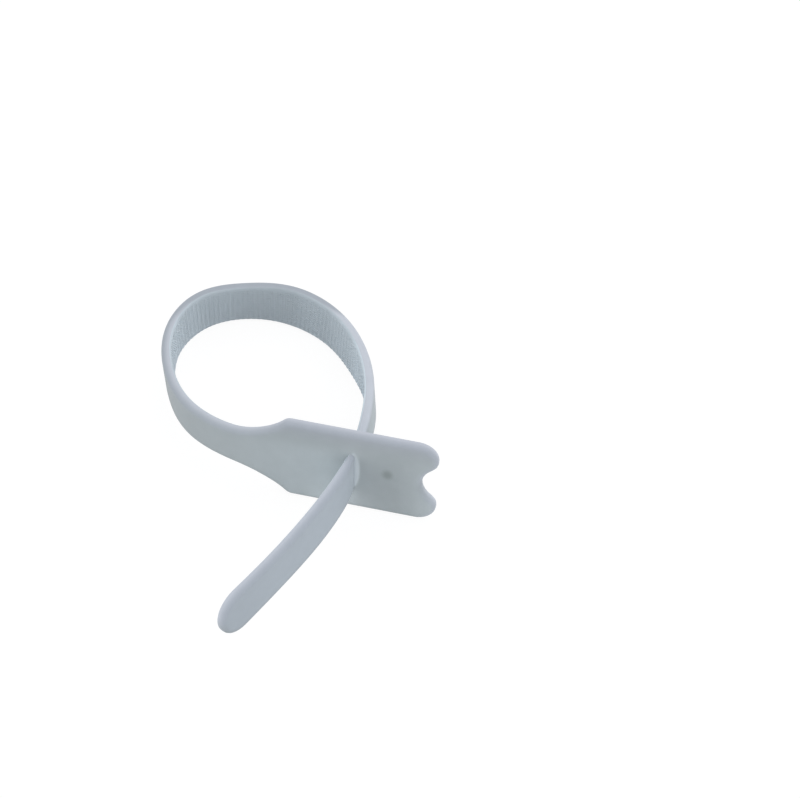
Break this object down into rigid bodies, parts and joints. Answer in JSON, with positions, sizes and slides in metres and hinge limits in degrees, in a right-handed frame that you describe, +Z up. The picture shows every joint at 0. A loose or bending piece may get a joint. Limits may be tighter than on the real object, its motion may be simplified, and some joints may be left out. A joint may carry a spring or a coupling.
{
  "type": "hook and loop cable tie",
  "caption": "Hook and loop cable tie closed into a ring, its narrow strap passed through the slot in its wide, notched head, standing on edge.",
  "frame": {"origin": "centre of the bounding box's bottom face, on the surface the tie rests on", "axes": "+Z up; the head lies along X with its notched end towards +X and its smooth side facing -Y; the ring lies behind it and the tail comes forward towards -Y"},
  "size_m": [0.0742, 0.0958, 0.0257],
  "materials": {
    "tape": "pale grey hook and loop tape, smooth satin outer side, fine hook pile on the inner side"
  },
  "bodies": {
    "root": {"strap": "tape"}
  },
  "joints": []
}
